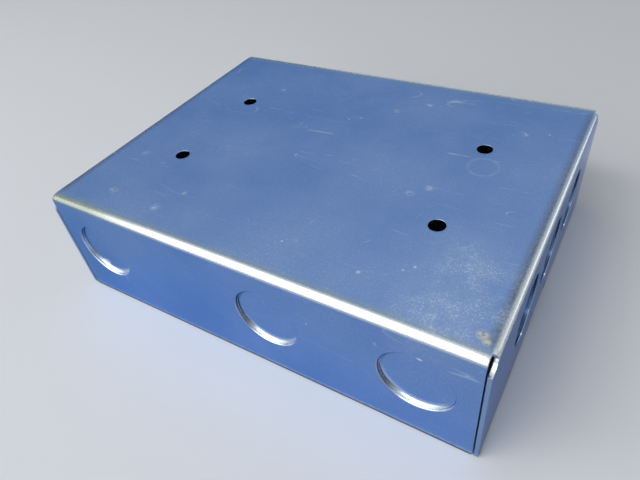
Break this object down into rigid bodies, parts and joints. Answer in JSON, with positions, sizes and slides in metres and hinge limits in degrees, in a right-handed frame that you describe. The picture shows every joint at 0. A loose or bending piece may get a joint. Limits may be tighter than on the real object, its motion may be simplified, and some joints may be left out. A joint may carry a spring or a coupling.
{
  "type": "flush back box",
  "caption": "Shallow rectangular sheet-steel wiring box, open on one side, with half-sheared conduit knockouts round its walls, screw holes in its back and folded fixing lugs.",
  "frame": {"origin": "middle of the rim that the box lies on, at the bottom centre of its bounding box", "axes": "+X along the length, +Y along the width from the front wall to the rear wall, +Z from the open side up to the back"},
  "size_m": [0.15, 0.115, 0.0415],
  "materials": {
    "zinc_plated_steel": "bright zinc plate, semi-mirror, lightly scuffed"
  },
  "bodies": {
    "root": {"back_box": "zinc_plated_steel"}
  },
  "joints": []
}
